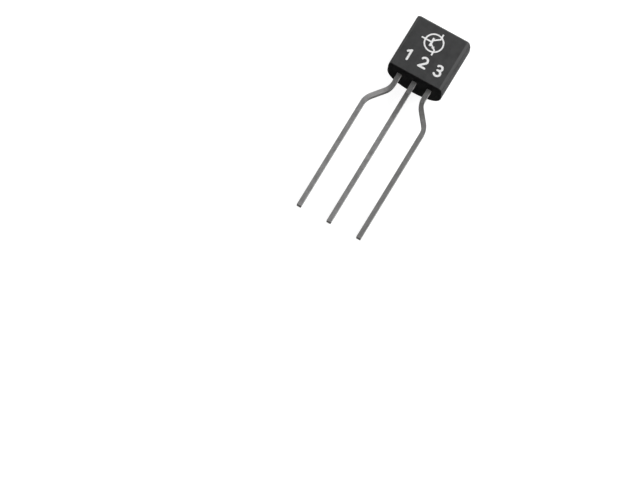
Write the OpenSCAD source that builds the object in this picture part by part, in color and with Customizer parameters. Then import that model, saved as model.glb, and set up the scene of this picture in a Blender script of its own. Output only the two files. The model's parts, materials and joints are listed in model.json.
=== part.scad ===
// Small-signal transistor in a moulded D-shaped case with three formed leads.
//
// Each piece is drawn standing up: X runs across the leads, Y from the flat face to the round
// back, and Z from the end where the leads come out (z = 0) to the head of the case. The whole
// part is then laid on its round back, flat face up, with the lead tips touching the ground.

/* [Case] */
// Width of the case across its two sides
case_w = 4.58; // [4.4:0.01:5.2]
// Height of the case from the lead end to the head
case_h = 4.4; // [4:0.05:5.4]
// Depth of the case from the flat face to the round back
case_d = 3.35; // [3.2:0.05:4.2]
// Radius of the round back
back_r = 2.8; // [2.5:0.05:3.2]
// Radius of the shoulders where the round back runs into the sides
shoulder_r = 1.88; // [1.6:0.01:2.1]
// Depth of the sloping flank beside the flat face
flank_d = 0.72; // [0.5:0.01:0.9]
// Slope of the flank, which lets the case out of its mould
flank_angle = 8; // [3:0.5:12]
// Radius of the outside edges
edge_r = 0.08; // [0.06:0.01:0.25]

/* [Ejector mark] */
// Diameter of the round flat-bottomed mark in the back
mark_d = 1.42; // [1:0.01:1.8]
// Height of the middle of the mark above the lead end
mark_up = 2.3; // [1.6:0.05:2.8]
// Depth of the mark below the crown of the back
mark_deep = 0.16; // [0.12:0.01:0.3]

/* [Leads] */
// Width of a lead, across the row
lead_w = 0.36; // [0.3:0.01:0.55]
// Thickness of a lead, which is that of the lead frame
lead_t = 0.4; // [0.3:0.01:0.5]
// Length of the leads outside the case
lead_long = 13; // [12:0.1:15]
// Distance from the flat face to the middle plane of the leads
lead_back = 1.3; // [1.1:0.05:1.5]
// Spacing of the leads where they leave the case
root_pitch = 1.27; // [1.2:0.01:1.35]
// Spacing of the lead tips
tip_pitch = 2.54; // [2.3:0.01:2.8]
// Length of straight lead between the case and the first bend
form_start = 0.86; // [0.6:0.01:1.5]
// Slope of the formed stretch of an outer lead
form_angle = 38; // [34:1:50]
// Radius of both bends, at the middle of the lead
form_r = 1.34; // [0.6:0.01:1.5]

/* [Lead frame inside the case] */
// Width of the pad that carries the chip
pad_w = 1.5; // [1.2:0.05:1.6]
// Height of the pad
pad_h = 1.85; // [1.6:0.05:2]
// Height of the pad's lower edge above the lead end
pad_up = 1.4; // [1.2:0.05:1.6]
// Diameter of the hole in the pad that the moulding locks into
lock_d = 0.36; // [0.2:0.02:0.5]
// Distance from the top edge of the pad to the middle of the lock hole
lock_down = 0.4; // [0.35:0.01:0.5]
// Width of a bond post at the head of an outer lead
post_w = 0.62; // [0.55:0.01:0.75]
// Height of a bond post
post_h = 1.1; // [0.8:0.05:1.4]
// Height of the top of a bond post above the lead end
post_top = 2.75; // [2.6:0.05:3]
// Distance that the anchor ears stand out from a lead
ear_out = 0.14; // [0.08:0.01:0.2]
// Height of an anchor ear
ear_h = 0.3; // [0.2:0.02:0.4]
// Height of the anchor ears above the lead end
ear_up = 0.5; // [0.3:0.05:0.6]
// Radius of the corners of the pad and posts
frame_r = 0.08; // [0.04:0.01:0.12]

/* [Chip] */
// Side of the square chip
chip_side = 0.5; // [0.4:0.02:0.7]
// Thickness of the chip
chip_t = 0.2; // [0.15:0.01:0.25]
// Height of the middle of the chip above the lead end
chip_up = 2.15; // [2:0.05:2.3]
// Thickness of the solder under the chip
solder_t = 0.03; // [0.02:0.01:0.05]
// Width of the solder rim that shows round the chip
solder_rim = 0.06; // [0.04:0.01:0.1]

/* [Bond wires] */
// Diameter of a bond wire
wire_d = 0.05; // [0.04:0.005:0.06]
// Distance from the middle of the chip to each bond on it, along both its sides
bond_off = 0.12; // [0.1:0.01:0.15]
// Distance of a wire's bond on its post from the inner edge of that post
stitch_in = 0.22; // [0.15:0.01:0.3]
// Height of the wire loop in front of the chip
loop_h = 0.3; // [0.26:0.01:0.4]
// Radius of the bends of the loop
loop_r = 0.16; // [0.1:0.01:0.18]
// Diameter of the ball and of the stitch that end a wire
ball_d = 0.1; // [0.08:0.01:0.12]
// Thickness of the ball and of the stitch
ball_t = 0.03; // [0.02:0.01:0.05]

/* [Hidden] */
$fn = 96;

// Spare length of the shapes that cut, so that no cut ends flush with a face
spare = 2*edge_r;
far = 2*case_w;

// How far the arc of a shoulder reaches past the side and the back, so that it crosses both
lap = 0.004;

// Outline of the case, as seen from the lead end
flat_w = case_w - 2*flank_d*tan(flank_angle);
flat_end = [flat_w/2, 0];
flank_end = [case_w/2, flank_d];
back_centre = [0, case_d - back_r];
shoulder_x = case_w/2 - shoulder_r + lap;
shoulder_rise = sqrt(pow(back_r - shoulder_r + lap, 2) - pow(shoulder_x, 2));
shoulder_centre = back_centre + [shoulder_x, shoulder_rise];

// Lead faces in depth
lead_front = lead_back - lead_t/2;
lead_rear = lead_back + lead_t/2;

// Points where the middle line of a formed lead turns, and half the width's share at each turn
form_out = tip_pitch - root_pitch;
turn_reach = form_r*tan(form_angle/2);
first_turn = [root_pitch, -form_start - turn_reach];
second_turn = first_turn + form_out*[1, -1/tan(form_angle)];
turn_half = lead_w/2*[1, tan(form_angle/2)];

// Front face of the chip, and the plane of the top of the wire loops
chip_front = lead_front - solder_t - chip_t;
loop_top = chip_front - loop_h;
post_inner = root_pitch - lead_w/2;

// Resting on the rim of the round back and on the lead tips
rest_long = lead_long + edge_r;
rest_deep = case_d - edge_r - lead_rear;
rest_tilt = atan2(rest_deep, rest_long) + asin(edge_r/norm([rest_long, rest_deep]));
rest_low = (lead_rear*cos(rest_tilt) + lead_long*sin(rest_tilt));
reach_tips = lead_front*sin(rest_tilt) - lead_long*cos(rest_tilt);
reach_head = (case_d - edge_r)*sin(rest_tilt) + (case_h - edge_r)*cos(rest_tilt) + edge_r;

function flip(p) = [-p[0], p[1]];
function unit(v) = v/norm(v);

// Lays a standing piece down, with the middle of its footprint over the origin.
module lie_down() {
    translate([0, -(reach_tips + reach_head)/2, rest_low])
        rotate([rest_tilt - 90, 0, 0])
            children();
}

// What lies between a corner and the fillet of radius r in it, where the corner's sides leave
// along a and, anticlockwise from it, along b. It reaches past the sides by over, so it cuts or
// fills the corner cleanly.
module corner_piece(corner, a, b, r, over) {
    half = acos(a*b)/2;
    middle = unit(a + b);
    centre = corner + middle*r/sin(half);
    on_a = corner + a*r/tan(half);
    on_b = corner + b*r/tan(half);
    difference() {
        polygon([corner - over*middle, on_a + over*unit(on_a - centre), on_a, centre, on_b,
            on_b + over*unit(on_b - centre)]);
        translate(centre) circle(r);
    }
}

// A rectangle with its four corners rounded.
module rounded_plate(size, r) {
    difference() {
        square(size);
        corner_piece([0, 0], [1, 0], [0, 1], r, r);
        corner_piece([size[0], 0], [0, 1], [-1, 0], r, r);
        corner_piece(size, [-1, 0], [0, -1], r, r);
        corner_piece([0, size[1]], [0, -1], [1, 0], r, r);
    }
}

// Half of the case's height against its width from an axis, with the outer corners rounded.
module rounded_half(w) {
    difference() {
        square([w, case_h]);
        corner_piece([w, 0], [0, 1], [-1, 0], edge_r, edge_r);
        corner_piece([w, case_h], [-1, 0], [0, -1], edge_r, edge_r);
    }
}

// A disc as high as the case, with rounded rims.
module turned(centre, r) {
    translate(centre) rotate_extrude() rounded_half(r);
}

// What the rounded shoulder takes off, between the side and the round back.
module shoulder_waste() {
    difference() {
        translate([0, 0, -spare]) linear_extrude(case_h + 2*spare)
            polygon([shoulder_centre, shoulder_centre + [far, 0], shoulder_centre + [far, far],
                shoulder_centre + far*unit(shoulder_centre - back_centre)]);
        turned(shoulder_centre, shoulder_r);
    }
}

// The flat face with its flanks, the straight sides and the round back, with their rims.
module squared_case() {
    along_flank = unit(flank_end - flat_end);
    intersection() {
        translate([0, 0, -spare]) linear_extrude(case_h + 2*spare) difference() {
            polygon([flat_end, flank_end, [case_w/2, case_d + spare], [-case_w/2, case_d + spare],
                flip(flank_end), flip(flat_end)]);
            corner_piece(flat_end, along_flank, [-1, 0], edge_r, edge_r);
            corner_piece(flip(flat_end), [1, 0], flip(along_flank), edge_r, edge_r);
        }
        translate([-far/2, 0, 0]) rotate([90, 0, 90]) linear_extrude(far) difference() {
            square([case_d + spare, case_h]);
            corner_piece([0, 0], [1, 0], [0, 1], edge_r, edge_r);
            corner_piece([0, case_h], [0, -1], [1, 0], edge_r, edge_r);
        }
        translate([-case_w/2, case_d + spare, 0]) rotate([90, 0, 0])
            linear_extrude(case_d + 2*spare) rounded_plate([case_w, case_h], edge_r);
        turned(back_centre, back_r);
    }
}

module ejector_mark() {
    translate([0, case_d - mark_deep, mark_up])
        rotate([-90, 0, 0]) cylinder(h = mark_deep + spare, d = mark_d);
}

// The moulding flows round everything that the lead frame carries.
module case_moulding() {
    difference() {
        squared_case();
        shoulder_waste();
        mirror([1, 0, 0]) shoulder_waste();
        ejector_mark();
        collector_frame();
        outer_frame();
        mirror([1, 0, 0]) outer_frame();
        solder();
        die();
        bond_wire();
        mirror([1, 0, 0]) bond_wire(-bond_off);
    }
}

// Stamps a shape drawn across the leads out of the lead frame's sheet.
module stamped() {
    translate([0, lead_rear, 0]) rotate([90, 0, 0]) linear_extrude(lead_t) children();
}

module anchor_ears(x) {
    translate([x - lead_w/2 - ear_out, ear_up]) square([lead_w + 2*ear_out, ear_h]);
}

// The middle lead, which ends in the pad under the chip.
module collector_frame() {
    stamped() difference() {
        union() {
            translate([-lead_w/2, -lead_long]) square([lead_w, lead_long + pad_up + frame_r]);
            anchor_ears(0);
            translate([-pad_w/2, pad_up]) rounded_plate([pad_w, pad_h], frame_r);
        }
        translate([0, pad_up + pad_h - lock_down]) circle(d = lock_d);
    }
}

// The strip of an outer lead, which turns twice, with both turns bent round.
module formed_strip() {
    up = [0, 1];
    along = [sin(form_angle), -cos(form_angle)];
    top = [root_pitch, post_top - frame_r];
    tip = [tip_pitch, -lead_long];
    half = [lead_w/2, 0];
    over = lead_w/4;
    difference() {
        union() {
            polygon([top + half, top - half, first_turn - turn_half, second_turn - turn_half,
                tip - half, tip + half, second_turn + turn_half, first_turn + turn_half]);
            corner_piece(first_turn + turn_half, along, up, form_r - lead_w/2, over);
            corner_piece(second_turn - turn_half, -along, -up, form_r - lead_w/2, over);
        }
        corner_piece(first_turn - turn_half, along, up, form_r + lead_w/2, over);
        corner_piece(second_turn + turn_half, -along, -up, form_r + lead_w/2, over);
    }
}

// An outer lead, formed away from the middle one, with a bond post at its head.
module outer_frame() {
    stamped() union() {
        translate([post_inner, post_top - post_h]) rounded_plate([post_w, post_h], frame_r);
        anchor_ears(root_pitch);
        formed_strip();
    }
}

module solder() {
    side = chip_side + 2*solder_rim;
    translate([-side/2, lead_front - solder_t, chip_up - side/2]) cube([side, solder_t, side]);
}

module die() {
    translate([-chip_side/2, chip_front, chip_up - chip_side/2]) cube([chip_side, chip_t, chip_side]);
}

// A round bar along the depth of the case, from y = from to y = to.
module depth_bar(x, from, to, d) {
    translate([x, from, 0]) rotate([-90, 0, 0]) cylinder(h = to - from, d = d);
}

// A wire from a ball on the chip, over a loop, to a stitch on the bond post.
module bond_wire(up = bond_off) {
    start_x = bond_off;
    end_x = post_inner + stitch_in;
    bend_y = loop_top + loop_r;
    translate([0, 0, chip_up + up]) union() {
        depth_bar(start_x, chip_front - ball_t, chip_front, ball_d);
        depth_bar(start_x, bend_y, chip_front - ball_t, wire_d);
        translate([start_x + loop_r, bend_y, 0])
            rotate(180) rotate_extrude(angle = 90) translate([loop_r, 0]) circle(d = wire_d);
        translate([start_x + loop_r, loop_top, 0])
            rotate([0, 90, 0]) cylinder(h = end_x - start_x - 2*loop_r, d = wire_d);
        translate([end_x - loop_r, bend_y, 0])
            rotate(-90) rotate_extrude(angle = 90) translate([loop_r, 0]) circle(d = wire_d);
        depth_bar(end_x, bend_y, lead_front - ball_t, wire_d);
        depth_bar(end_x, lead_front - ball_t, lead_front, ball_d);
    }
}

module case() { color("#3c3c3c") lie_down() case_moulding(); }
module emitter_lead() { color("#b9bbbd") lie_down() mirror([1, 0, 0]) outer_frame(); }
module collector_lead() { color("#b9bbbd") lie_down() collector_frame(); }
module base_lead() { color("#b9bbbd") lie_down() outer_frame(); }
module die_attach() { color("#8d9094") lie_down() solder(); }
module chip() { color("#4a5568") lie_down() die(); }
module emitter_wire() { color("#d8b04a") lie_down() mirror([1, 0, 0]) bond_wire(-bond_off); }
module base_wire() { color("#d8b04a") lie_down() bond_wire(); }

case();
emitter_lead();
collector_lead();
base_lead();
die_attach();
chip();
emitter_wire();
base_wire();
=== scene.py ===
"""Dress for a small signal transistor that lies on its round back and its lead tips.

The CAD solids keep their shapes and places. This script gives each of them its finish, lays a
body with rounded corners and moulding draft over the plain case, eases the stamped edges of the
leads, prints the flat face, and sets the part on a pale floor in soft light.
"""

from __future__ import annotations

import json
import logging
import math
from dataclasses import dataclass, field
from enum import Enum
from typing import Iterable, Sequence

import bmesh
import bpy
from bpy.types import ID, Material, Mesh, Node, NodeOutputs, NodeSocket, NodeTree, Object
from mathutils import Matrix, Vector


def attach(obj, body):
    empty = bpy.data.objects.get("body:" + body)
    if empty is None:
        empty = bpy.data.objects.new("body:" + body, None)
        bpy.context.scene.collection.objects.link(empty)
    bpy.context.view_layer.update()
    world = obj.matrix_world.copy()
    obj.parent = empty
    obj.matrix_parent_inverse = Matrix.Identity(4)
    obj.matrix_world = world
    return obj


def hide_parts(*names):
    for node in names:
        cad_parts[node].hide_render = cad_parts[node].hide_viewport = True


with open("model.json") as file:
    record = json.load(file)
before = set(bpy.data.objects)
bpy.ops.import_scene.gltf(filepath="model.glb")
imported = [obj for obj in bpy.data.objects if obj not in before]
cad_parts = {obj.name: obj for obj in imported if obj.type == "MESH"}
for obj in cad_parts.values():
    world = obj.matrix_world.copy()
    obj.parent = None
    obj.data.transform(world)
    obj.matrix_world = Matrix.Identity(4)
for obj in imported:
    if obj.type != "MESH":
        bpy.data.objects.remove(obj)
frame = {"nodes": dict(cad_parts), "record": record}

MM = 0.001
IMAGE_WIDTH = 640
SENSOR = 36.0

# The least share of a bend's width that its two sides are apart by, however sharp it is
SHARPEST = 0.5

# Turns a shape onto its back: what ran up along Z runs along Y, and what ran along Y goes down
LAID_BACK = Matrix.Rotation(math.radians(-90), 4, "X")

Point = tuple[float, float]
Span = tuple[float, float]
Triple = tuple[float, float, float]
Colour = tuple[float, float, float, float]
Layers = tuple[NodeSocket, NodeSocket, NodeSocket]

log = logging.getLogger("transistor")


def grey(value: float, warmth: float = 0.0) -> Colour:
    """A grey that leans a little towards red, or towards blue where warmth is below zero.

    Args:
        value: Reflectance of the grey, from 0 to 1.
        warmth: How far red rises above blue, as a share of the value.

    Returns:
        The colour as red, green, blue and alpha.
    """
    return (value * (1 + warmth / 2), value, value * (1 - warmth / 2), 1.0)


def placed(name: str, data: ID) -> Object:
    """Puts a mesh, a light or a camera into the scene.

    Args:
        name: Name of the object.
        data: The mesh, light or camera.

    Returns:
        The object.
    """
    thing = bpy.data.objects.new(name, data)
    bpy.context.scene.collection.objects.link(thing)
    return thing


@dataclass
class Graph:
    """A node tree that is filled from code."""

    tree: NodeTree

    def node(
        self, kind: str, values: dict[int | str, object] | None = None, **settings: object
    ) -> Node:
        """Adds a node.

        Args:
            kind: Blender's type name of the node.
            values: What goes into each input: a plain value, or an output of another node.
            settings: Properties of the node itself.

        Returns:
            The new node.
        """
        node = self.tree.nodes.new(kind)
        for name, setting in settings.items():
            setattr(node, name, setting)
        for socket, value in (values or {}).items():
            if isinstance(value, NodeSocket):
                self.tree.links.new(value, node.inputs[socket])
            else:
                node.inputs[socket].default_value = value
        return node

    def effect(self, group: NodeTree, **values: object) -> NodeOutputs:
        """The outputs of a shared effect, with what goes into its inputs."""
        return self.node("ShaderNodeGroup", values, node_tree=group).outputs

    def math(self, operation: str, *terms: object) -> NodeSocket:
        """The result of one sum on one to three terms."""
        node = self.node("ShaderNodeMath", dict(enumerate(terms)), operation=operation)
        return node.outputs[0]

    def mix(self, share: object, first: object, second: object) -> NodeSocket:
        """A colour between two others, the second where the share is one."""
        node = self.node("ShaderNodeMix", {0: share, 6: first, 7: second}, data_type="RGBA")
        return node.outputs[2]

    def span(
        self, value: object, low: float, high: float, start: float = 0.0, end: float = 1.0
    ) -> NodeSocket:
        """A value moved from the range low to high into the range start to end, and held there."""
        node = self.node("ShaderNodeMapRange", {0: value, 1: low, 2: high, 3: start, 4: end})
        return node.outputs[0]

    def dot(self, first: object, second: object) -> NodeSocket:
        """How far the first vector reaches along the second, which has length one."""
        node = self.node("ShaderNodeVectorMath", {0: first, 1: second}, operation="DOT_PRODUCT")
        return node.outputs["Value"]

    def axis(self, vector: object, name: str) -> NodeSocket:
        """The part of a vector along X, Y or Z."""
        return self.node("ShaderNodeSeparateXYZ", {0: vector}).outputs[name]

    def normal(self) -> NodeSocket:
        """The surface's own normal."""
        return self.node("ShaderNodeNewGeometry").outputs["Normal"]

    def noise(self, place: object, scale: object, detail: float, roughness: float) -> NodeSocket:
        """Noise from 0 to 1, with finer layers in it by the detail and the roughness."""
        values = {"Vector": place, "Scale": scale, "Detail": detail, "Roughness": roughness}
        return self.node("ShaderNodeTexNoise", values).outputs["Fac"]


class Sort(Enum):
    """Kinds of socket on a node group."""

    NUMBER = "NodeSocketFloat"
    COLOUR = "NodeSocketColor"
    VECTOR = "NodeSocketVector"


@dataclass
class Effects:
    """The effects that several finishes share, each a node group that is built once.

    Every noise has its detail and its roughness.
    """

    cloud_noise: Span = (5.0, 0.6)
    cloud_range: Span = (0.32, 0.68)
    grain_noise: Span = (3.0, 0.55)
    grain_range: Span = (0.25, 0.75)
    peak_range: Span = (0.56, 0.7)
    edge_samples: int = 6
    bent_range: Span = (0.995, 0.86)
    patch_noise: Span = (4.0, 0.5)
    patch_range: Span = (0.35, 0.65)
    least_rubbed: float = 0.6

    def __post_init__(self) -> None:
        """Builds the groups."""
        self.mottle = self._mottle()
        self.grain = self._grain()
        self.edges = self._edges()

    @staticmethod
    def _group(
        name: str, inputs: dict[str, Sort], outputs: dict[str, Sort]
    ) -> tuple[Graph, NodeOutputs]:
        """Starts a group, which is given a place and a scale before its own inputs.

        Args:
            name: Name of the group.
            inputs: Its own inputs and their kinds.
            outputs: Its outputs and their kinds.

        Returns:
            The group's graph and what is given to it.
        """
        tree = bpy.data.node_groups.new(name, "ShaderNodeTree")
        inputs = {"Vector": Sort.VECTOR, "Scale": Sort.NUMBER, **inputs}
        for sockets, way in ((inputs, "INPUT"), (outputs, "OUTPUT")):
            for label, sort in sockets.items():
                tree.interface.new_socket(name=label, in_out=way, socket_type=sort.value)
        graph = Graph(tree)
        return graph, graph.node("NodeGroupInput").outputs

    def _mottle(self) -> NodeTree:
        """Cloudy patches between two colours.

        Returns:
            The group, with a colour and the value that made it.
        """
        graph, given = self._group(
            "mottle",
            {"Dark": Sort.COLOUR, "Light": Sort.COLOUR},
            {"Color": Sort.COLOUR, "Value": Sort.NUMBER},
        )
        cloud = graph.noise(given["Vector"], given["Scale"], *self.cloud_noise)
        share = graph.span(cloud, *self.cloud_range)
        colour = graph.mix(share, given["Dark"], given["Light"])
        graph.node("NodeGroupOutput", {"Color": colour, "Value": share})
        return graph.tree

    def _grain(self) -> NodeTree:
        """Fine grain, drawn out along one direction where Stretch is below one.

        Returns:
            The group, with a height and a mask of the high spots.
        """
        graph, given = self._group(
            "grain", {"Stretch": Sort.NUMBER}, {"Height": Sort.NUMBER, "Peaks": Sort.NUMBER}
        )
        axes = graph.node("ShaderNodeSeparateXYZ", {0: given["Vector"]}).outputs
        along = graph.math("MULTIPLY", axes["Y"], given["Stretch"])
        drawn = graph.node("ShaderNodeCombineXYZ", {0: axes["X"], 1: along, 2: axes["Z"]})
        fine = graph.noise(drawn.outputs[0], given["Scale"], *self.grain_noise)
        height = graph.span(fine, *self.grain_range)
        peaks = graph.span(fine, *self.peak_range)
        graph.node("NodeGroupOutput", {"Height": height, "Peaks": peaks})
        return graph.tree

    def _edges(self) -> NodeTree:
        """The sharp or tightly rounded edges of a piece, broken up as rubbing breaks them.

        Returns:
            The group, with a mask that is one on the edges.
        """
        graph, given = self._group("edges", {"Radius": Sort.NUMBER}, {"Mask": Sort.NUMBER})
        rounded = graph.node(
            "ShaderNodeBevel", {"Radius": given["Radius"]}, samples=self.edge_samples
        )
        bent = graph.span(graph.dot(rounded.outputs[0], graph.normal()), *self.bent_range)
        patch = graph.noise(given["Vector"], given["Scale"], *self.patch_noise)
        rubbed_and_highlit = graph.span(patch, *self.patch_range, self.least_rubbed, 1.0)
        graph.node("NodeGroupOutput", {"Mask": graph.math("MULTIPLY", bent, rubbed_and_highlit)})
        return graph.tree


@dataclass
class Coat:
    """A material while it is built, with what every part of it starts from."""

    graph: Graph
    effects: Effects
    place: NodeSocket
    clouds: NodeOutputs
    grain: NodeOutputs

    def edges(self, radius: float, scale: float) -> NodeSocket:
        """A mask of the edges within a radius, broken up by noise of a scale."""
        group = self.effects.edges
        return self.graph.effect(group, Vector=self.place, Radius=radius, Scale=scale)["Mask"]


@dataclass(frozen=True)
class Finish:
    """What every finish has: two cloudy tones, a fine grain, and how it shines."""

    name: str
    dark: Colour
    light: Colour
    cloud_scale: float
    grain_scale: float
    roughness: Span
    relief_depth: float
    relief_share: float
    stretch: float = 1.0
    metallic: float = 0.0
    specular: float = 0.5

    def build(self, effects: Effects) -> Material:
        """Builds the material.

        Args:
            effects: The shared effects.

        Returns:
            The material, whose patterns are laid out in metres on the object.
        """
        material = bpy.data.materials.new(self.name)
        material.use_nodes = True
        material.node_tree.nodes.clear()
        graph = Graph(material.node_tree)
        place = graph.node("ShaderNodeTexCoord").outputs["Object"]
        clouds = graph.effect(
            effects.mottle, Vector=place, Scale=self.cloud_scale, Dark=self.dark, Light=self.light
        )
        grain = graph.effect(
            effects.grain, Vector=place, Scale=self.grain_scale, Stretch=self.stretch
        )
        colour, dullness, height = self._layers(Coat(graph, effects, place, clouds, grain))
        relief = graph.node(
            "ShaderNodeBump",
            {"Height": height, "Distance": self.relief_depth, "Strength": self.relief_share},
        )
        shader = graph.node(
            "ShaderNodeBsdfPrincipled",
            {
                "Base Color": colour,
                "Metallic": self.metallic,
                "Roughness": dullness,
                "Specular IOR Level": self.specular,
                "Normal": relief.outputs[0],
            },
        )
        graph.node("ShaderNodeOutputMaterial", {"Surface": shader.outputs[0]})
        return material

    def _layers(self, coat: Coat) -> Layers:
        """What changes over the surface.

        Args:
            coat: The material while it is built.

        Returns:
            Its colour, its roughness and its height, which runs from 0 to 1.
        """
        height = coat.grain["Height"]
        dullness = coat.graph.span(height, 0.0, 1.0, *self.roughness)
        return coat.clouds["Color"], dullness, height


@dataclass(frozen=True)
class MouldedEpoxy(Finish):
    """Black moulding compound with the fine grain of its mould and a faint line where it parts."""

    name: str = "moulded_epoxy"
    dark: Colour = grey(0.05, -0.02)
    light: Colour = grey(0.066, -0.02)
    cloud_scale: float = 1400.0
    grain_scale: float = 15000.0
    roughness: Span = (0.58, 0.7)
    relief_depth: float = 0.006 * MM
    relief_share: float = 0.5
    specular: float = 0.06
    grain_share: float = 0.6
    # Lighter tone of the edges: partly wear, partly a painted highlight
    rubbed_and_highlit: Colour = grey(0.12)
    edge_radius: float = 0.11 * MM
    edge_scale: float = 2500.0
    edge_share: float = 0.8
    edge_polish: float = 0.06
    front: Triple = (0.0, 0.0, 1.0)
    beside_front: Span = (0.3, 0.6)
    near_front: Span = (0.99, 0.93)
    # Strength of the painted highlight on the corners round the flat face
    crease_highlight_share: float = 0.5
    tilt: float = 0.0
    seam_height: float = 0.0
    seam_half: float = 0.025 * MM

    def _layers(self, coat: Coat) -> Layers:
        """Rubs the edges smoother, lightens them with wear and a painted highlight, paints a
        highlight on the corners round the flat face, and raises the line of the mould.

        Args:
            coat: The material while it is built.

        Returns:
            Its colour, its roughness and its height.
        """
        graph = coat.graph
        colour, satin, height = super()._layers(coat)
        edges = coat.edges(self.edge_radius, self.edge_scale)
        sharp = graph.math("MULTIPLY", edges, self.edge_share)
        # Edges lighter with wear and painted highlight, and a painted highlight on the corners
        # round the flat face
        wear_and_highlight = graph.math("MAXIMUM", sharp, self._painted_crease_highlight(graph))
        polish = graph.math("MULTIPLY", edges, self.edge_polish)
        grain = graph.math("MULTIPLY", height, self.grain_share)
        return (
            graph.mix(wear_and_highlight, colour, self.rubbed_and_highlit),
            graph.math("SUBTRACT", satin, polish),
            graph.math("ADD", grain, self._seam(coat)),
        )

    def _painted_crease_highlight(self, graph: Graph) -> NodeSocket:
        """A painted highlight on the rounded corners round the flat face.

        Args:
            graph: The material's graph.

        Returns:
            A mask that is strongest between the flat face and the faces round it.
        """
        facing = graph.dot(graph.normal(), self.front)
        return graph.math(
            "MULTIPLY",
            graph.span(facing, *self.beside_front, 0.0, self.crease_highlight_share),
            graph.span(facing, *self.near_front),
        )

    def _seam(self, coat: Coat) -> NodeSocket:
        """The low ridge that the two halves of the mould leave between them.

        Args:
            coat: The material while it is built.

        Returns:
            Height of the ridge, from 0 to 1.
        """
        graph = coat.graph
        stood = graph.node(
            "ShaderNodeVectorRotate",
            {"Vector": coat.place, "Angle": -self.tilt},
            rotation_type="X_AXIS",
        )
        off = graph.math("SUBTRACT", graph.axis(stood.outputs[0], "Z"), self.seam_height)
        return graph.span(graph.math("ABSOLUTE", off), 0.0, self.seam_half, 1.0, 0.0)


@dataclass(frozen=True)
class TinPlate(Finish):
    """Dull tin on a stamped lead, with fine draw lines along it, brighter on its sheared faces."""

    name: str = "tin_plate"
    dark: Colour = grey(0.265, 0.02)
    light: Colour = grey(0.36, 0.01)
    cloud_scale: float = 2600.0
    grain_scale: float = 22000.0
    stretch: float = 0.06
    roughness: Span = (0.44, 0.56)
    relief_depth: float = 0.003 * MM
    relief_share: float = 0.5
    metallic: float = 1.0
    side: Colour = grey(0.46, 0.01)
    # Tone of the cut ends, also used as painted light on the sides next to the case
    cut_end_and_root_light_tone: Colour = grey(0.95, 0.04)
    dull: Colour = grey(0.2, 0.03)
    # Painted light on the front next to the case, also the tone of the left lead's lighter stretch
    lightened_tone: Colour = grey(0.58, 0.01)
    side_range: Span = (0.55, 0.75)
    cut_range: Span = (0.9, 0.97)
    cloud_dullness: float = 0.05
    torn_dullness: float = 0.4
    end_way: Triple = (0.0, -1.0, 0.0)
    start_at: float = 0.0
    ragged: float = 0.4 * MM
    # Painted light next to the case, fading out between these distances from it
    painted_root_light: Span = (0.5 * MM, 1.3 * MM)
    formed: Span = (0.6 * MM, 1.4 * MM)
    straight: Span = (2.3 * MM, 4.3 * MM)
    lean_right: float = 0.3
    lean_left: float = -1.3
    # Lighter on the left lead past 1.3 mm left of the middle, out to 2.7 to 3.5 mm from the case
    left_lighter_side: Span = (-1.3 * MM, -1.7 * MM)
    left_lighter_end: Span = (2.7 * MM, 3.5 * MM)
    left_lighter_share: float = 0.35
    # Darker towards the right, between 1.4 and 2.4 mm right of the middle
    right_darker_side: Span = (1.4 * MM, 2.4 * MM)
    right_darker_share: float = 0.45

    def _layers(self, coat: Coat) -> Layers:
        """Plates the lead, brighter where it was sheared, darker along its bent stretches and on
        the right lead, lighter on the left lead's jog, with painted light next to the case.

        Args:
            coat: The material while it is built.

        Returns:
            Its colour, its roughness and its height.
        """
        graph = coat.graph
        colour, drawn, lines = super()._layers(coat)
        normal = graph.normal()
        ended = graph.span(graph.dot(normal, self.end_way), *self.cut_range)
        beside = graph.span(graph.math("ABSOLUTE", graph.axis(normal, "X")), *self.side_range)
        lightened, dulled = self._stretches(coat)
        plated = graph.mix(beside, graph.mix(dulled, colour, self.dull), self.side)
        # Painted light next to the case: lighter fronts, and sides in the tone of the cut ends
        lightened_tone = graph.mix(beside, self.lightened_tone, self.cut_end_and_root_light_tone)
        torn = graph.math("MULTIPLY", beside, lightened)
        dullness = graph.math("MULTIPLY_ADD", coat.clouds["Value"], self.cloud_dullness, drawn)
        return (
            graph.mix(ended, graph.mix(lightened, plated, lightened_tone), self.cut_end_and_root_light_tone),
            graph.math("MULTIPLY_ADD", torn, self.torn_dullness, dullness),
            lines,
        )

    def _stretches(self, coat: Coat) -> tuple[NodeSocket, NodeSocket]:
        """Where painted light lifts the stretch next to the case and the left lead's jog is
        lighter, and where the leads are darker along their bent stretches and on the right lead.

        Args:
            coat: The material while it is built.

        Returns:
            A mask of the lightened stretches and a mask of the darker ones.
        """
        graph = coat.graph
        across = graph.axis(coat.place, "X")
        out = graph.math("SUBTRACT", graph.dot(coat.place, self.end_way), self.start_at)
        broken = graph.math("MULTIPLY_ADD", coat.clouds["Value"], self.ragged, out)
        aside = graph.math(
            "MAXIMUM",
            graph.math("MULTIPLY", across, self.lean_right),
            graph.math("MULTIPLY", across, self.lean_left),
        )
        # A lighter stretch on the left lead
        drawn = graph.math(
            "MULTIPLY",
            graph.span(across, *self.left_lighter_side, 0.0, self.left_lighter_share),
            graph.span(out, *self.left_lighter_end, 1.0, 0.0),
        )
        # Darker along the bent stretches, up to where each lead runs straight
        formed = graph.math(
            "MULTIPLY",
            graph.span(broken, *self.formed),
            graph.span(graph.math("ADD", broken, aside), *self.straight, 1.0, 0.0),
        )
        # Darker on the right lead
        right_darker = graph.span(across, *self.right_darker_side, 0.0, self.right_darker_share)
        # Painted light that takes the case's shade off the stretch next to it
        painted_root_light = graph.span(broken, *self.painted_root_light, 1.0, 0.0)
        return (
            graph.math("MAXIMUM", painted_root_light, drawn),
            graph.math("MAXIMUM", formed, right_darker),
        )


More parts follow.
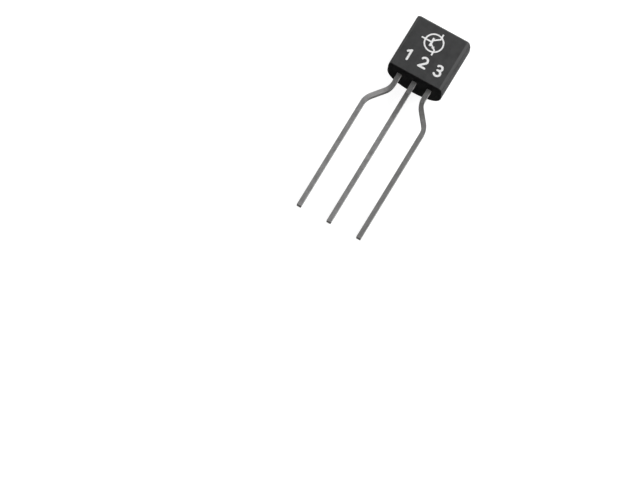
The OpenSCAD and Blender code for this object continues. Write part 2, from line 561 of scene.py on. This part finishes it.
@dataclass(frozen=True)
class Solder(Finish):
    """The thin grey bed of solder that holds the chip."""

    name: str = "die_solder"
    dark: Colour = grey(0.32, -0.02)
    light: Colour = grey(0.48, 0.02)
    cloud_scale: float = 9000.0
    grain_scale: float = 30000.0
    roughness: Span = (0.35, 0.6)
    relief_depth: float = 0.004 * MM
    relief_share: float = 0.6
    metallic: float = 1.0


@dataclass(frozen=True)
class Silicon(Finish):
    """Polished silicon with the fine steps of a sawn edge."""

    name: str = "silicon"
    dark: Colour = (0.05, 0.06, 0.09, 1.0)
    light: Colour = (0.10, 0.12, 0.17, 1.0)
    cloud_scale: float = 5000.0
    grain_scale: float = 60000.0
    stretch: float = 0.1
    roughness: Span = (0.12, 0.3)
    relief_depth: float = 0.001 * MM
    relief_share: float = 0.4
    metallic: float = 0.6
    sawn: Colour = grey(0.3)
    edge_radius: float = 0.01 * MM
    edge_scale: float = 30000.0

    def _layers(self, coat: Coat) -> Layers:
        """Adds the paler line that the saw leaves along the edges.

        Args:
            coat: The material while it is built.

        Returns:
            Its colour, its roughness and its height.
        """
        colour, dullness, height = super()._layers(coat)
        edges = coat.edges(self.edge_radius, self.edge_scale)
        return coat.graph.mix(edges, colour, self.sawn), dullness, height


@dataclass(frozen=True)
class GoldWire(Finish):
    """Drawn gold, with the faint lines of its die."""

    name: str = "gold_wire"
    dark: Colour = (0.72, 0.46, 0.13, 1.0)
    light: Colour = (0.92, 0.66, 0.24, 1.0)
    cloud_scale: float = 12000.0
    grain_scale: float = 50000.0
    stretch: float = 0.2
    roughness: Span = (0.15, 0.28)
    relief_depth: float = 0.001 * MM
    relief_share: float = 0.4
    metallic: float = 1.0


@dataclass(frozen=True)
class PrintInk(Finish):
    """Opaque white ink that lies a little thin in places."""

    name: str = "print_ink"
    dark: Colour = grey(0.8)
    light: Colour = grey(0.92)
    cloud_scale: float = 7000.0
    grain_scale: float = 15000.0
    roughness: Span = (0.5, 0.62)
    relief_depth: float = 0.003 * MM
    relief_share: float = 0.5
    pit_share: float = 0.25

    def _layers(self, coat: Coat) -> Layers:
        """Darkens the pits, and dulls the ink where it lies full.

        Args:
            coat: The material while it is built.

        Returns:
            Its colour, its roughness and its height.
        """
        graph = coat.graph
        pits = graph.math("MULTIPLY", coat.grain["Peaks"], self.pit_share)
        return (
            graph.mix(pits, coat.clouds["Color"], self.dark),
            graph.span(coat.clouds["Value"], 0.0, 1.0, *self.roughness),
            coat.grain["Height"],
        )


def dress(node: Object, material: Material) -> None:
    """Gives every slot of a CAD node one material.

    Args:
        node: The node.
        material: The material.
    """
    if not node.material_slots:
        node.data.materials.append(material)
    for slot in node.material_slots:
        slot.material = material
    log.info("%s is finished in %s", node.name, material.name)


@dataclass
class FlatFace:
    """The flat face of the case: where it is, and which ways run across and up it."""

    middle: Vector
    normal: Vector
    across: Vector = field(init=False)
    up: Vector = field(init=False)
    half_height: float = 2.2

    def __post_init__(self) -> None:
        """Works out the two directions on the face."""
        self.across = Vector((1.0, 0.0, 0.0))
        self.up = self.normal.cross(self.across)

    @classmethod
    def from_record(cls, record: dict) -> FlatFace:
        """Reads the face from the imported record, which names it as the mount "flat"."""
        mount = next(m for m in record["mounts"] if m["name"] == "flat")
        return cls(Vector(mount["pos_m"]), Vector(mount["axis"]).normalized())

    @property
    def tilt(self) -> float:
        """How far the head of the case is raised, in radians."""
        return math.atan2(self.up.z, self.up.y)

    def placement(self) -> Matrix:
        """Matrix from millimetres on the face, z outwards, to metres in the row frame.

        Returns:
            The matrix, whose origin is the middle of the edge at the lead end.
        """
        origin = self.middle - self.up * self.half_height * MM
        columns = (self.across * MM, self.up * MM, self.normal * MM)
        turn = Matrix([list(c) for c in columns]).transposed()
        return Matrix.Translation(origin) @ turn.to_4x4()


def bend(before: Vector, after: Vector) -> tuple[Vector, float]:
    """The way to the left where a line bends.

    Args:
        before: The way that the line comes.
        after: The way that it leaves.

    Returns:
        The way to the left, and the share of a width there that its two sides are apart by.
    """
    middle = (before + after).normalized()
    return Vector((-middle.y, middle.x)), max(middle.dot(after), SHARPEST)


def inset(outline: Sequence[Point], distance: float) -> list[Point]:
    """Moves a closed outline inwards.

    Args:
        outline: Its points, anticlockwise.
        distance: How far every side moves.

    Returns:
        The points of the smaller outline, one for each point given.
    """
    moved = []
    for i, point in enumerate(outline):
        here = Vector(point)
        before = (here - Vector(outline[i - 1])).normalized()
        after = (Vector(outline[(i + 1) % len(outline)]) - here).normalized()
        inwards, share = bend(before, after)
        moved.append(tuple(here + inwards * distance / share))
    return moved


def closed_solid(name: str, rings: Sequence[tuple[Sequence[Point], float]]) -> Object:
    """Builds a solid from outlines that lie above each other.

    Args:
        name: Name of the object.
        rings: Each outline, anticlockwise, with its height, from the lowest to the highest.

    Returns:
        The solid, in millimetres.
    """
    shape = bmesh.new()
    loops = [[shape.verts.new((x, y, z)) for x, y in points] for points, z in rings]
    for low, high in zip(loops, loops[1:]):
        for i in range(len(low)):
            j = (i + 1) % len(low)
            shape.faces.new((low[i], low[j], high[j], high[i]))
    caps = [shape.faces.new(loops[-1]), shape.faces.new(loops[0][::-1])]
    shape.normal_update()
    bmesh.ops.triangulate(shape, faces=caps)
    mesh = bpy.data.meshes.new(name)
    shape.to_mesh(mesh)
    shape.free()
    return placed(name, mesh)


class Work(Enum):
    """What is done to a solid with others."""

    ADD = "UNION"
    CUT = "DIFFERENCE"


def worked(name: str, solids: Sequence[Object], work: Work) -> Mesh:
    """Adds solids to the first of them, or cuts them out of it, and removes them all.

    Args:
        name: Name of the mesh.
        solids: The first solid and the others.
        work: Whether the others are added or cut out.

    Returns:
        The mesh that results.
    """
    for other in solids[1:]:
        step = solids[0].modifiers.new("step", "BOOLEAN")
        step.operation = work.value
        step.solver = "EXACT"
        step.object = other
    bpy.context.view_layer.update()
    graph = bpy.context.evaluated_depsgraph_get()
    mesh = bpy.data.meshes.new_from_object(solids[0].evaluated_get(graph))
    mesh.name = name
    for solid in solids:
        bpy.data.objects.remove(solid)
    return mesh


@dataclass
class Ink:
    """A film of ink, built as plates on the flat face and joined into one skin."""

    thickness: float = 0.012
    sink: float = 0.006
    edge: float = 0.008
    round_steps: int = 10
    outlines: list[list[Point]] = field(default_factory=list)

    def stroke(self, path: Sequence[Point], width: float, round_ends: bool = True) -> None:
        """Adds a line of even width.

        Args:
            path: The middle of the line, in millimetres on the face.
            width: Its width in millimetres.
            round_ends: Whether its ends are round or cut square.
        """
        points = [Vector(p) for p in path]
        ways = [(b - a).normalized() for a, b in zip(points, points[1:])]
        left: list[Point] = []
        right: list[Point] = []
        for i, point in enumerate(points):
            side, share = bend(ways[max(i - 1, 0)], ways[min(i, len(ways) - 1)])
            reach = width / 2 / share
            left.append(tuple(point + side * reach))
            right.append(tuple(point - side * reach))
        last = self._end(points[-1], ways[-1], width / 2) if round_ends else []
        first = self._end(points[0], -ways[0], width / 2) if round_ends else []
        self.outlines.append(right + last + left[::-1] + first)

    def _end(self, centre: Vector, way: Vector, radius: float) -> list[Point]:
        """Points of a half circle that closes a line, without its two ends."""
        start = math.degrees(math.atan2(way.y, way.x)) - 90.0
        return arc(centre, radius, start, start + 180.0, self.round_steps)[1:-1]

    def area(self, outline: Sequence[Point]) -> None:
        """Adds a filled shape whose outline runs anticlockwise."""
        self.outlines.append(list(outline))

    def _plate(self, outline: Sequence[Point]) -> Object:
        """One shape as a closed solid with a sloping edge.

        Args:
            outline: The shape, anticlockwise.

        Returns:
            The solid, in millimetres.
        """
        foot, top = (outline, -self.sink), (inset(outline, self.edge), self.thickness)
        rim = (outline, self.thickness - self.edge / 2)
        return closed_solid("ink_plate", [foot, rim, top])

    def lay(self, name: str, face: FlatFace, material: Material) -> Object:
        """Joins the shapes and lays them on the face.

        Args:
            name: Name of the piece.
            face: The face that is printed.
            material: The ink's finish.

        Returns:
            The piece, in the row frame.
        """
        mesh = worked(name, [self._plate(outline) for outline in self.outlines], Work.ADD)
        mesh.transform(face.placement())
        mesh.materials.append(material)
        return placed(name, mesh)


def arc(
    centre: Sequence[float],
    radius: float,
    start: float,
    end: float,
    steps: int = 14,
    squash: float = 1.0,
) -> list[Point]:
    """Points along part of a circle.

    Args:
        centre: Its centre.
        radius: Its radius.
        start: Angle of the first point, in degrees.
        end: Angle of the last point, in degrees.
        steps: How many lines it is drawn in.
        squash: Height of the arc against its width.

    Returns:
        The points, in order.
    """
    angles = (math.radians(start + (end - start) * i / steps) for i in range(steps + 1))
    return [
        (centre[0] + radius * math.cos(a), centre[1] + radius * squash * math.sin(a))
        for a in angles
    ]


def quarter(steps: int) -> list[Point]:
    """The points of a rounded edge with a radius of one, between an end and a side.

    Args:
        steps: How many lines it is drawn in.

    Returns:
        How far each point lies inside the side and from the end, starting at the end.
    """
    turns = (math.pi / 2 * i / steps for i in range(steps + 1))
    return [(1 - math.sin(t), 1 - math.cos(t)) for t in turns]


class Numeral(Enum):
    """The plain figures that number the leads."""

    ONE = 1
    TWO = 2
    THREE = 3


@dataclass
class LeadNumbers:
    """Plain figures above the leads, in the order that the leads are counted."""

    height: float = 0.98
    weight: float = 0.17
    baseline: float = 0.78
    pitch: float = 1.27
    stem: float = 0.04
    flag: Point = (-0.24, -0.18)
    bowl: float = 0.24
    bowl_turn: Span = (155.0, -38.0)
    foot: float = 0.27
    top: float = 0.205
    top_turn: Span = (150.0, -90.0)
    bottom: float = 0.245
    bottom_turn: Span = (90.0, -150.0)
    bottom_squash: float = 0.95
    waist_end: float = -0.08

    def build(self, face: FlatFace, ink: Material) -> list[Object]:
        """Prints the figures.

        Args:
            face: The flat face of the case.
            ink: The ink.

        Returns:
            The printed pieces.
        """
        pieces = []
        for numeral in Numeral:
            film = Ink()
            middle = (numeral.value - Numeral.TWO.value) * self.pitch
            for path in self._paths(numeral):
                film.stroke([(middle + x, self.baseline + y) for x, y in path], self.weight)
            pieces.append(film.lay(f"lead_number_{numeral.value}", face, ink))
        return pieces

    def _paths(self, numeral: Numeral) -> Iterable[list[Point]]:
        """The lines that draw a figure, about its own middle and baseline.

        Args:
            numeral: The figure.

        Returns:
            One list of points for each line.
        """
        low, high = self.weight / 2, self.height - self.weight / 2
        if numeral is Numeral.ONE:
            peak = (self.stem, high)
            return [
                [(self.stem, low), peak],
                [(self.stem + self.flag[0], high + self.flag[1]), peak],
            ]
        if numeral is Numeral.TWO:
            heel = (-self.bowl, low)
            curve = arc((0.0, high - self.bowl), self.bowl, *self.bowl_turn)
            return [curve + [heel], [heel, (self.foot, low)]]
        waist = (self.waist_end, high - 2 * self.top)
        middle = (0.0, waist[1] - self.bottom * self.bottom_squash)
        lower = arc(middle, self.bottom, *self.bottom_turn, squash=self.bottom_squash)
        return [
            arc((0.0, high - self.top), self.top, *self.top_turn) + [waist],
            [waist] + lower,
        ]


@dataclass
class CircuitSymbol:
    """The standard circuit symbol of this kind of transistor, in a ring."""

    middle: Point = (-0.1, 3.02)
    ring: float = 0.72
    line: float = 0.12
    bar: float = 0.17
    bar_half: float = 0.36
    bar_at: float = -0.18
    base_reach: float = 1.05
    out: float = 0.3
    spread: float = 0.5
    reach: float = 0.96
    branch: float = 0.13
    arrow_long: float = 0.27
    arrow_half: float = 0.13
    arrow_gap: float = 0.02
    half_turn: Span = (-1.0, 181.0)
    half_steps: int = 40

    def build(self, face: FlatFace, ink: Material) -> Object:
        """Prints the symbol.

        Args:
            face: The flat face of the case.
            ink: The ink.

        Returns:
            The printed piece.
        """
        film = Ink()
        self._ring(film)
        bar = [(self.bar_at, -self.bar_half), (self.bar_at, self.bar_half)]
        base = [(-self.base_reach, 0.0), (self.bar_at, 0.0)]
        upper = [(self.bar_at, self.branch), (self.out, self.spread), (self.out, self.reach)]
        lower = [(x, -y) for x, y in upper]
        film.stroke(self._at(bar), self.bar, round_ends=False)
        for path in (base, upper, lower):
            film.stroke(self._at(path), self.line, round_ends=False)
        self._arrow(film)
        return film.lay("circuit_symbol", face, ink)

    def _at(self, points: Iterable[Point]) -> list[Point]:
        """Points about the middle of the symbol, moved to where it is printed."""
        return [(self.middle[0] + x, self.middle[1] + y) for x, y in points]

    def _ring(self, film: Ink) -> None:
        """Draws the ring as two halves that overlap.

        Args:
            film: The ink.
        """
        begin, end = self.half_turn
        for turn in (0.0, 180.0):
            half = arc(self.middle, self.ring, turn + begin, turn + end, self.half_steps)
            film.stroke(half, self.line, round_ends=False)

    def _arrow(self, film: Ink) -> None:
        """Draws the arrow head that points out along the lower branch.

        Args:
            film: The ink.
        """
        start = Vector((self.bar_at, -self.branch))
        way = (Vector((self.out, -self.spread)) - start).normalized()
        side = Vector((-way.y, way.x))
        tip = Vector((self.out, -self.spread)) - way * self.arrow_gap
        back = tip - way * self.arrow_long
        corners = (back - side * self.arrow_half, tip, back + side * self.arrow_half)
        film.area(self._at(tuple(c) for c in corners))


@dataclass
class Leads:
    """The three leads, whose stamped edges are eased before they are plated."""

    names: tuple[str, ...] = ("emitter_lead", "collector_lead", "base_lead")
    ease: float = 0.022 * MM
    ease_steps: int = 2
    corner: float = math.radians(40)

    def build(self, face: FlatFace, effects: Effects) -> None:
        """Eases the edges and plates the leads.

        Args:
            face: The flat face of the case, which the leads run along.
            effects: The shared effects.
        """
        case_end = face.placement().translation
        tin = TinPlate(end_way=tuple(-face.up), start_at=-case_end.dot(face.up)).build(effects)
        for name in self.names:
            lead = frame["nodes"][name]
            dress(lead, tin)
            eased = lead.modifiers.new("eased_edges", "BEVEL")
            eased.width = self.ease
            eased.segments = self.ease_steps
            eased.limit_method = "ANGLE"
            eased.angle_limit = self.corner
            eased.harden_normals = True


@dataclass
class Moulding:
    """The moulded body: a D-shaped plan with eased front corners and a head with draft."""

    height: float = 4.4
    depth: float = 3.35
    half_width: float = 2.3
    flat_half: float = 2.04
    crease_r: float = 0.16
    corner: Point = (2.24, 0.2)
    corner_r: float = 0.25
    side_from: float = 0.85
    side_r: float = 1.0
    back_r: float = 3.2
    shoulder_r: float = 1.55
    parting: float = 1.3
    head_front: float = 0.064
    head_parting: float = 0.18
    base_rim: float = 0.07
    head_rim: float = 0.15
    rim_steps: int = 5
    corner_steps: int = 5
    shoulder_steps: int = 18
    back_steps: int = 12
    mark_r: float = 0.71
    mark_up: float = 2.3
    mark_deep: float = 0.16
    mark_fillet: float = 0.04
    mark_steps: int = 64
    pin_long: float = 0.48
    fillet_steps: int = 4
    crease: float = math.radians(20)

    def build(self, name: str, face: FlatFace) -> Object:
        """Moulds the body with the round mark of the ejector pin in its back.

        Args:
            name: Name of the piece.
            face: The flat face of the case.

        Returns:
            The piece, in the row frame.
        """
        mesh = worked(name, [self._shell(name), self._pin()], Work.CUT)
        mesh.transform(face.placement() @ LAID_BACK)
        mesh.shade_smooth()
        mesh.set_sharp_from_angle(angle=self.crease)
        body = placed(name, mesh)
        body.modifiers.new("even_normals", "WEIGHTED_NORMAL").keep_sharp = True
        return body

    def _shell(self, name: str) -> Object:
        """The body without the mark in its back.

        Args:
            name: Name of the object.

        Returns:
            The solid, in millimetres.
        """
        plan = self._plan()
        turns = quarter(self.rim_steps)
        points: list[Triple] = []
        for inwards, up in turns:
            ring = inset(plan, inwards * self.base_rim)
            points += [(x, y, up * self.base_rim) for x, y in ring]
        for inwards, down in turns[::-1]:
            ring = inset(plan, inwards * self.head_rim)
            points += [(x, y, self._head(y) - down * self.head_rim) for x, y in ring]
        mesh = bpy.data.meshes.new(name)
        mesh.from_pydata(points, [], self._faces(len(plan), 2 * len(turns)))
        return placed(name, mesh)

    @staticmethod
    def _faces(count: int, rings: int) -> list[tuple[int, ...]]:
        """Faces round a stack of rings, and strips that run across both of its ends.

        Args:
            count: How many points every ring has.
            rings: How many rings there are.

        Returns:
            The numbers of the points of every face.
        """
        half, top = count // 2, (rings - 1) * count
        faces = [
            (k + i, k + (i + 1) % count, k + count + (i + 1) % count, k + count + i)
            for k in range(0, top, count)
            for i in range(count)
        ]
        strips = [(i, i + 1, count - 2 - i, count - 1 - i) for i in range(half - 1)]
        strips.append((half - 1, half, half + 1))
        faces += [tuple(i + top for i in strip) for strip in strips]
        return faces + [strip[::-1] for strip in strips]

    def _head(self, deep: float) -> float:
        """How high the head stands at a depth: it has draft, and stands out where the mould parts.

        Args:
            deep: Depth from the flat face.

        Returns:
            Height above the lead end.
        """
        if deep < self.parting:
            rise = self.head_parting - self.head_front
            return self.height + self.head_front + rise * deep / self.parting
        back = self.depth - self.head_rim
        return self.height + self.head_parting * (back - deep) / (back - self.parting)

    def _plan(self) -> list[Point]:
        """The outline of the body seen from its head.

        Returns:
            Its points, anticlockwise from the right end of the flat face.
        """
        back_centre = Vector((0.0, self.depth - self.back_r))
        aside = self.half_width - self.shoulder_r
        behind = math.sqrt((self.back_r - self.shoulder_r) ** 2 - aside**2)
        shoulder_centre = back_centre + Vector((aside, behind))
        meet = math.degrees(math.atan2(shoulder_centre.y - back_centre.y, aside))
        corners = [
            ((0.0, 0.0), 0.0),
            ((self.flat_half, 0.0), self.crease_r),
            (self.corner, self.corner_r),
            ((self.half_width, self.side_from), self.side_r),
            ((self.half_width, shoulder_centre.y), 0.0),
        ]
        right = self._filleted(corners)[1:]
        right += arc(shoulder_centre, self.shoulder_r, 0.0, meet, self.shoulder_steps)[:-1]
        right += arc(back_centre, self.back_r, meet, 90.0, self.back_steps)
        return right + [(-x, y) for x, y in right[-2::-1]]

    def _filleted(self, corners: Sequence[tuple[Point, float]]) -> list[Point]:
        """Rounds the corners of an open line.

        Args:
            corners: Each corner with its radius, all of them turning left.

        Returns:
            The points of the line without its last corner.
        """
        line = [corners[0][0]]
        for (before, _), (here, radius), (after, _) in zip(corners, corners[1:], corners[2:]):
            come = (Vector(here) - Vector(before)).normalized()
            leave = (Vector(after) - Vector(here)).normalized()
            turn = come.angle(leave)
            start = Vector(here) - come * radius * math.tan(turn / 2)
            centre = start + Vector((-come.y, come.x)) * radius
            begin = math.degrees(math.atan2(come.y, come.x)) - 90.0
            end = begin + math.degrees(turn)
            line += arc(centre, radius, begin, end, self.corner_steps)
        return line

    def _pin(self) -> Object:
        """The ejector pin, whose end is rounded at its edge, laid through the back.

        Returns:
            The solid, in millimetres.
        """
        size, turns = self.mark_fillet, quarter(self.fillet_steps)
        end = [(self.mark_r - inwards * size, up * size) for inwards, up in turns]
        rings = [(arc((0.0, 0.0), r, 0.0, 360.0, self.mark_steps)[:-1], z) for r, z in end]
        rings.append((rings[-1][0], self.pin_long))
        pin = closed_solid("ejector_pin", rings)
        bottom = Matrix.Translation((0.0, self.depth - self.mark_deep, self.mark_up))
        pin.data.transform(bottom @ LAID_BACK)
        return pin


@dataclass
class Case:
    """The moulded case and what is printed on it."""

    name: str = "case"
    body: str = "moulded_body"
    lead_plane: float = 1.3

    def build(self, face: FlatFace, effects: Effects) -> None:
        """Moulds the body over the plain solid, finishes it and prints its flat face.

        Args:
            face: The flat face of the case.
            effects: The shared effects.
        """
        seam = (face.middle - face.normal * self.lead_plane * MM).dot(face.normal)
        finish = MouldedEpoxy(front=tuple(face.normal), tilt=face.tilt, seam_height=seam)
        epoxy = finish.build(effects)
        dress(frame["nodes"][self.name], epoxy)
        body = Moulding().build(self.body, face)
        body.data.materials.append(epoxy)
        ink = PrintInk().build(effects)
        for piece in (body, *LeadNumbers().build(face, ink), CircuitSymbol().build(face, ink)):
            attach(piece, "root")
            log.info("%s is built with %d faces", piece.name, len(piece.data.polygons))
        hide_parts(self.name)


@dataclass
class Chip:
    """The chip, the solder under it and the wires to it, all inside the case."""

    finishes: tuple[tuple[Finish, tuple[str, ...]], ...] = (
        (Solder(), ("die_attach",)),
        (Silicon(), ("chip",)),
        (GoldWire(), ("emitter_wire", "base_wire")),
    )

    def build(self, effects: Effects) -> None:
        """Finishes the pieces.

        Args:
            effects: The shared effects.
        """
        for finish, names in self.finishes:
            material = finish.build(effects)
            for name in names:
                dress(frame["nodes"][name], material)


@dataclass
class Softbox:
    """A square soft light, placed round the part."""

    name: str
    azimuth: float
    elevation: float
    distance: float
    side: float
    power: float

    def build(self, aim: Vector) -> None:
        """Hangs the light and turns it to the part.

        Args:
            aim: What it is turned to.
        """
        data = bpy.data.lights.new(self.name, "AREA")
        data.shape = "SQUARE"
        data.size = self.side
        data.energy = self.power
        light = placed(self.name, data)
        away = direction(self.azimuth, self.elevation)
        light.location = aim + away * self.distance
        light.rotation_mode = "QUATERNION"
        light.rotation_quaternion = away.to_track_quat("Z", "Y")


def direction(azimuth: float, elevation: float) -> Vector:
    """The way from the part to a place round it.

    Args:
        azimuth: Degrees round from -Y towards +X.
        elevation: Degrees above the floor.

    Returns:
        A vector of length one.
    """
    turn, rise = math.radians(azimuth), math.radians(elevation)
    level = math.cos(rise)
    return Vector((math.sin(turn) * level, -math.cos(turn) * level, math.sin(rise)))


@dataclass
class Studio:
    """The floor, the lights and the camera."""

    aim: Vector = field(default_factory=lambda: Vector((0.154, -10.299, 0.0)) * MM)
    azimuth: float = 15.443
    elevation: float = 60.823
    roll: float = 15.217
    distance: float = 1.2
    pixels_per_mm: float = 13.469
    floor_half: float = 3.0
    floor_tone: float = 0.3
    floor_roughness: float = 0.8
    floor_glow: float = 0.88
    backdrop: float = 1.0
    sky_azimuth: float = 180.0
    sky_dark: float = 0.01
    sky_bright: float = 1.85
    sky_range: Span = (0.28, 0.56)
    bounce: float = 0.2
    bounce_range: Span = (-0.8, -0.97)
    near: float = 0.01
    far: float = 20.0
    lights: tuple[Softbox, ...] = (
        Softbox("top_light", azimuth=92.0, elevation=47.0, distance=0.9, side=0.6, power=6.2),
        Softbox("fill_light", azimuth=-112.0, elevation=12.0, distance=0.9, side=0.6, power=2.2),
    )

    def build(self) -> None:
        """Builds the studio."""
        self._floor()
        self._sky()
        for light in self.lights:
            light.build(self.aim)
        self._camera()

    def _floor(self) -> None:
        """Lays the pale floor under the part."""
        half = self.floor_half
        corners = [(-half, -half, 0), (half, -half, 0), (half, half, 0), (-half, half, 0)]
        mesh = bpy.data.meshes.new("floor")
        mesh.from_pydata(corners, [], [(0, 1, 2, 3)])
        floor = placed("floor", mesh)
        material = bpy.data.materials.new("pale_floor")
        material.use_nodes = True
        shader = material.node_tree.nodes["Principled BSDF"]
        looks = {
            "Base Color": grey(self.floor_tone),
            "Roughness": self.floor_roughness,
            "Emission Color": grey(1.0),
            "Emission Strength": self.floor_glow,
        }
        for socket, value in looks.items():
            shader.inputs[socket].default_value = value
        mesh.materials.append(material)
        floor.visible_glossy = False
        floor.visible_diffuse = False

    def _sky(self) -> None:
        """Lights the part softly from one side and from the floor, before a pale backdrop."""
        world = bpy.data.worlds.new("soft_sky")
        bpy.context.scene.world = world
        world.use_nodes = True
        world.node_tree.nodes.clear()
        graph = Graph(world.node_tree)
        place = graph.node("ShaderNodeTexCoord").outputs["Generated"]
        along = graph.dot(place, direction(self.sky_azimuth, 0.0))
        low, high = self.sky_range
        rise = graph.node(
            "ShaderNodeMapRange",
            {0: along, 1: low, 2: high, 3: self.sky_dark, 4: self.sky_bright},
            interpolation_type="SMOOTHSTEP",
        )
        bounced = graph.span(graph.axis(place, "Z"), *self.bounce_range, 0.0, self.bounce)
        seen = graph.node("ShaderNodeLightPath").outputs["Is Camera Ray"]
        unseen = graph.math("SUBTRACT", 1.0, seen)
        light = graph.math("ADD", rise.outputs[0], bounced)
        strength = graph.math(
            "MULTIPLY_ADD", seen, self.backdrop, graph.math("MULTIPLY", unseen, light)
        )
        shade = graph.node("ShaderNodeBackground", {"Color": grey(1.0), "Strength": strength})
        graph.node("ShaderNodeOutputWorld", {"Surface": shade.outputs[0]})

    def _camera(self) -> None:
        """Sets up the camera, far enough off for so small a part to show no perspective."""
        data = bpy.data.cameras.new("camera")
        data.sensor_width = SENSOR
        data.lens = self.pixels_per_mm / MM * self.distance * SENSOR / IMAGE_WIDTH
        data.clip_start = self.distance * self.near
        data.clip_end = self.distance * self.far
        camera = placed("camera", data)
        back = direction(self.azimuth, self.elevation)
        level = Vector((0.0, 0.0, 1.0)).cross(back).normalized()
        upright = back.cross(level)
        turn, lean = math.cos(math.radians(self.roll)), math.sin(math.radians(self.roll))
        right = level * turn + upright * lean
        top = upright * turn - level * lean
        turned = Matrix((right, top, back)).transposed().to_4x4()
        camera.matrix_world = Matrix.Translation(self.aim + back * self.distance) @ turned
        bpy.context.scene.camera = camera
        bpy.context.scene.view_settings.view_transform = "Standard"


def main() -> None:
    """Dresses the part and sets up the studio."""
    logging.basicConfig(level=logging.INFO, format="%(message)s")
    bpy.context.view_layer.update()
    Studio().build()
    effects = Effects()
    face = FlatFace.from_record(frame["record"])
    Case().build(face, effects)
    Leads().build(face, effects)
    Chip().build(effects)


if __name__ == "__main__":
    main()
